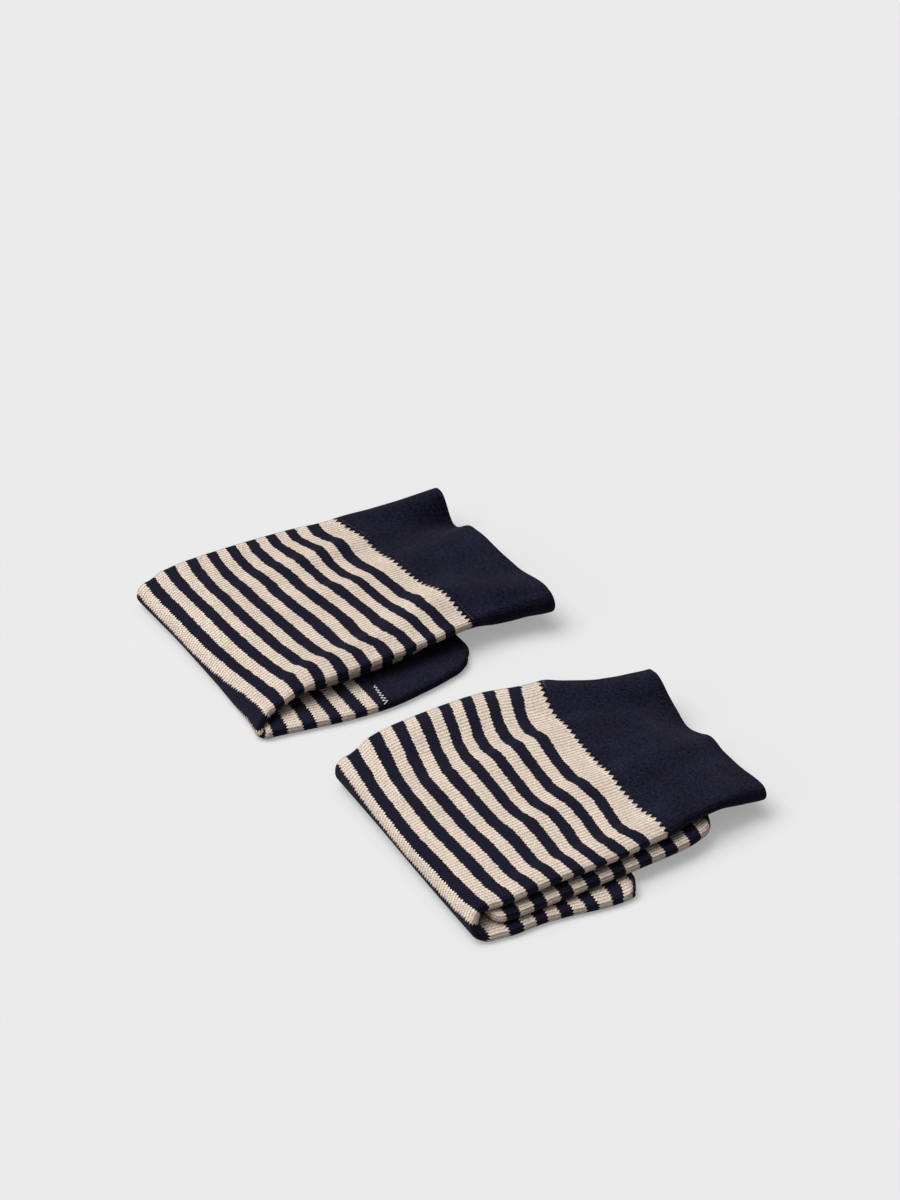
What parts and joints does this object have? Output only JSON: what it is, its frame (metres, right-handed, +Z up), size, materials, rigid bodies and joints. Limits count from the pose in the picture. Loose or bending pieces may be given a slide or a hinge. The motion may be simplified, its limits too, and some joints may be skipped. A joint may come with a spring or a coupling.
{
  "type": "pair of socks",
  "caption": "Pair of striped knitted crew socks with dark cuffs and heels, each folded back on itself and laid flat side by side.",
  "frame": {"origin": "centre of the pair's bounding box, on the surface that the socks lie on", "axes": "+X along both socks from their folds to their cuffs, +Y across the socks from the nearer one in the picture to the farther one, +Z up"},
  "size_m": [0.141, 0.2298, 0.0169],
  "materials": {
    "navy_knit": "matt plain knit, very dark navy",
    "striped_knit": "matt plain knit, warm cream with very dark navy stripes of the same width"
  },
  "bodies": {
    "root": {"sock_1_cuff": "navy_knit", "sock_1_leg": "striped_knit", "sock_1_heel": "navy_knit", "sock_1_foot": "striped_knit", "sock_2_cuff": "navy_knit", "sock_2_leg": "striped_knit", "sock_2_heel": "navy_knit", "sock_2_foot": "striped_knit"}
  },
  "joints": []
}
